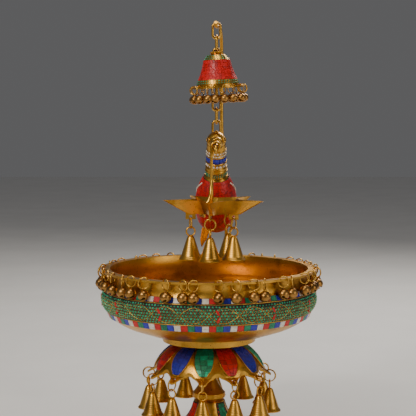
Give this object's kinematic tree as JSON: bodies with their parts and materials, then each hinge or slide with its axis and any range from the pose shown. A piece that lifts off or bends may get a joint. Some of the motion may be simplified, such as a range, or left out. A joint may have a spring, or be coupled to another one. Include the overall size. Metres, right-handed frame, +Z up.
{
  "type": "standing brass bowl with a chain-hung parrot oil lamp",
  "caption": "Brass mosaic bowl on a lotus stand, with bells round its rim; an arm behind it hangs a canopy, a parrot and a star-shaped oil lamp on a chain.",
  "frame": {"origin": "centre of the base's underside, on the floor", "axes": "+Z up; the front, where the oil lamp hangs before the parrot, faces -Y; +X is the viewer's right"},
  "size_m": [0.3216, 0.3406, 0.6048],
  "materials": {
    "brass": "aged, hand polished",
    "bright_brass": "polished",
    "steel": "plain",
    "green_mosaic": "malachite and turquoise chips in dark grout, waxed",
    "red_mosaic": "coral red chips in dark grout, waxed",
    "blue_mosaic": "lapis blue chips in dark grout, waxed",
    "white_beads": "shell white beads with blue ones between",
    "mixed_tiles": "red, green, blue and white tiles, waxed"
  },
  "bodies": {
    "stand": {"arm_set_screw": "steel", "arm_socket": "brass", "base_dome": "brass", "base_stripes_green": "green_mosaic", "base_stripes_red": "red_mosaic", "bowl": "brass", "bowl_mosaic_band": "green_mosaic", "bowl_tiles_lower": "mixed_tiles", "bowl_tiles_upper": "mixed_tiles", "hanger_arm": "brass", "lotus_bell_rings": "bright_brass", "lotus_hub": "brass", "lotus_shell": "brass", "petal_inlays_blue": "blue_mosaic", "petal_inlays_green": "green_mosaic", "petal_inlays_red": "red_mosaic", "rim_ghungroos": "bright_brass", "rim_rings": "bright_brass", "spool_neck": "brass", "tie_nuts": "steel", "tie_rod": "steel", "tie_washers": "steel"},
    "link_upper_1": {"link_upper_1": "brass"},
    "link_upper_2": {"link_upper_2": "brass"},
    "canopy": {"canopy_ghungroos": "bright_brass", "canopy_green_bands": "green_mosaic", "canopy_red_inlay": "red_mosaic", "canopy_rings": "bright_brass", "canopy_rod": "brass", "canopy_shell": "brass"},
    "link_lower_1": {"link_lower_1": "brass"},
    "link_lower_2": {"link_lower_2": "brass"},
    "link_lower_3": {"link_lower_3": "brass"},
    "link_lower_4": {"link_lower_4": "brass"},
    "bird": {"bird_body": "brass", "bird_neck_beads": "white_beads", "bird_red_mosaic": "red_mosaic", "bird_tail": "brass"},
    "lamp": {"lamp_dish": "brass", "lamp_hook": "brass", "lamp_bell_rings": "bright_brass"},
    "lamp_bell_1": {"lamp_bell_1": "bright_brass"},
    "lamp_bell_2": {"lamp_bell_2": "bright_brass"},
    "lamp_bell_3": {"lamp_bell_3": "bright_brass"},
    "lamp_bell_4": {"lamp_bell_4": "bright_brass"},
    "lotus_bell_01": {"lotus_bell_01": "bright_brass"},
    "lotus_bell_02": {"lotus_bell_02": "bright_brass"},
    "lotus_bell_03": {"lotus_bell_03": "bright_brass"},
    "lotus_bell_04": {"lotus_bell_04": "bright_brass"},
    "lotus_bell_05": {"lotus_bell_05": "bright_brass"},
    "lotus_bell_06": {"lotus_bell_06": "bright_brass"},
    "lotus_bell_07": {"lotus_bell_07": "bright_brass"},
    "lotus_bell_08": {"lotus_bell_08": "bright_brass"},
    "lotus_bell_09": {"lotus_bell_09": "bright_brass"},
    "lotus_bell_10": {"lotus_bell_10": "bright_brass"},
    "lotus_bell_11": {"lotus_bell_11": "bright_brass"},
    "lotus_bell_12": {"lotus_bell_12": "bright_brass"}
  },
  "joints": [
    {"name": "link_upper_1_swing", "type": "hinge", "parent": "stand", "child": "link_upper_1", "pos_m": [0.0105, 0, 0.598], "axis": [0.0906, 0.9959, 0], "range_deg": [-8, 8]},
    {"name": "link_upper_2_swing", "type": "hinge", "parent": "link_upper_1", "child": "link_upper_2", "pos_m": [0.0105, 0, 0.5813], "axis": [0.9959, -0.0906, 0], "range_deg": [-5, 5]},
    {"name": "canopy_swing", "type": "hinge", "parent": "link_upper_2", "child": "canopy", "pos_m": [0.0105, 0, 0.5638], "axis": [0.0906, 0.9959, 0], "range_deg": [-8, 8]},
    {"name": "link_lower_1_swing", "type": "hinge", "parent": "canopy", "child": "link_lower_1", "pos_m": [0.0105, 0, 0.5165], "axis": [0.9959, -0.0906, 0], "range_deg": [-5, 5]},
    {"name": "link_lower_2_swing", "type": "hinge", "parent": "link_lower_1", "child": "link_lower_2", "pos_m": [0.0105, 0, 0.499], "axis": [0.0906, 0.9959, 0], "range_deg": [-8, 8]},
    {"name": "link_lower_3_swing", "type": "hinge", "parent": "link_lower_2", "child": "link_lower_3", "pos_m": [0.0105, 0, 0.4815], "axis": [0.9959, -0.0906, 0], "range_deg": [-5, 5]},
    {"name": "link_lower_4_swing", "type": "hinge", "parent": "link_lower_3", "child": "link_lower_4", "pos_m": [0.0105, 0, 0.464], "axis": [0.0906, 0.9959, 0], "range_deg": [-8, 8]},
    {"name": "bird_swing", "type": "hinge", "parent": "link_lower_4", "child": "bird", "pos_m": [0.0105, 0, 0.4465], "axis": [0.9959, -0.0906, 0], "range_deg": [-5, 5]},
    {"name": "lamp_swing", "type": "hinge", "parent": "bird", "child": "lamp", "pos_m": [0.009, -0.05, 0.434], "axis": [0, 1, 0], "range_deg": [-2, 5]},
    {"name": "lamp_bell_1_swing", "type": "hinge", "parent": "lamp", "child": "lamp_bell_1", "pos_m": [0.03348, -0.06335, 0.3226], "axis": [0.4305, 0.9026, 0], "range_deg": [-12, 4]},
    {"name": "lamp_bell_2_swing", "type": "hinge", "parent": "lamp", "child": "lamp_bell_2", "pos_m": [0.02684, -0.02751, 0.3226], "axis": [-0.7254, 0.6884, 0], "range_deg": [-12, 4]},
    {"name": "lamp_bell_3_swing", "type": "hinge", "parent": "lamp", "child": "lamp_bell_3", "pos_m": [-0.02498, -0.05565, 0.3226], "axis": [0.1822, -0.9833, 0], "range_deg": [-12, 4]},
    {"name": "lamp_bell_4_swing", "type": "hinge", "parent": "lamp", "child": "lamp_bell_4", "pos_m": [0.00145, -0.08074, 0.3226], "axis": [0.9914, -0.1305, 0], "range_deg": [-12, 4]},
    {"name": "lotus_bell_01_swing", "type": "hinge", "parent": "stand", "child": "lotus_bell_01", "pos_m": [-0.00899, -0.08553, 0.1012], "axis": [-0.1045, -0.9945, 0], "range_deg": [-8, 8]},
    {"name": "lotus_bell_02_swing", "type": "hinge", "parent": "stand", "child": "lotus_bell_02", "pos_m": [0.03498, -0.07856, 0.1012], "axis": [0.4067, -0.9135, 0], "range_deg": [-8, 8]},
    {"name": "lotus_bell_03_swing", "type": "hinge", "parent": "stand", "child": "lotus_bell_03", "pos_m": [0.06957, -0.05055, 0.1012], "axis": [0.809, -0.5878, 0], "range_deg": [-8, 8]},
    {"name": "lotus_bell_04_swing", "type": "hinge", "parent": "stand", "child": "lotus_bell_04", "pos_m": [0.08553, -0.00899, 0.1012], "axis": [0.9945, -0.1045, 0], "range_deg": [-8, 8]},
    {"name": "lotus_bell_05_swing", "type": "hinge", "parent": "stand", "child": "lotus_bell_05", "pos_m": [0.07856, 0.03498, 0.1012], "axis": [0.9135, 0.4067, 0], "range_deg": [-8, 8]},
    {"name": "lotus_bell_06_swing", "type": "hinge", "parent": "stand", "child": "lotus_bell_06", "pos_m": [0.05055, 0.06957, 0.1012], "axis": [0.5878, 0.809, 0], "range_deg": [-8, 8]},
    {"name": "lotus_bell_07_swing", "type": "hinge", "parent": "stand", "child": "lotus_bell_07", "pos_m": [0.00899, 0.08553, 0.1012], "axis": [0.1045, 0.9945, 0], "range_deg": [-8, 8]},
    {"name": "lotus_bell_08_swing", "type": "hinge", "parent": "stand", "child": "lotus_bell_08", "pos_m": [-0.03498, 0.07856, 0.1012], "axis": [-0.4067, 0.9135, 0], "range_deg": [-8, 8]},
    {"name": "lotus_bell_09_swing", "type": "hinge", "parent": "stand", "child": "lotus_bell_09", "pos_m": [-0.06957, 0.05055, 0.1012], "axis": [-0.809, 0.5878, 0], "range_deg": [-8, 8]},
    {"name": "lotus_bell_10_swing", "type": "hinge", "parent": "stand", "child": "lotus_bell_10", "pos_m": [-0.08553, 0.00899, 0.1012], "axis": [-0.9945, 0.1045, 0], "range_deg": [-8, 8]},
    {"name": "lotus_bell_11_swing", "type": "hinge", "parent": "stand", "child": "lotus_bell_11", "pos_m": [-0.07856, -0.03498, 0.1012], "axis": [-0.9135, -0.4067, 0], "range_deg": [-8, 8]},
    {"name": "lotus_bell_12_swing", "type": "hinge", "parent": "stand", "child": "lotus_bell_12", "pos_m": [-0.05055, -0.06957, 0.1012], "axis": [-0.5878, -0.809, 0], "range_deg": [-8, 8]}
  ]
}
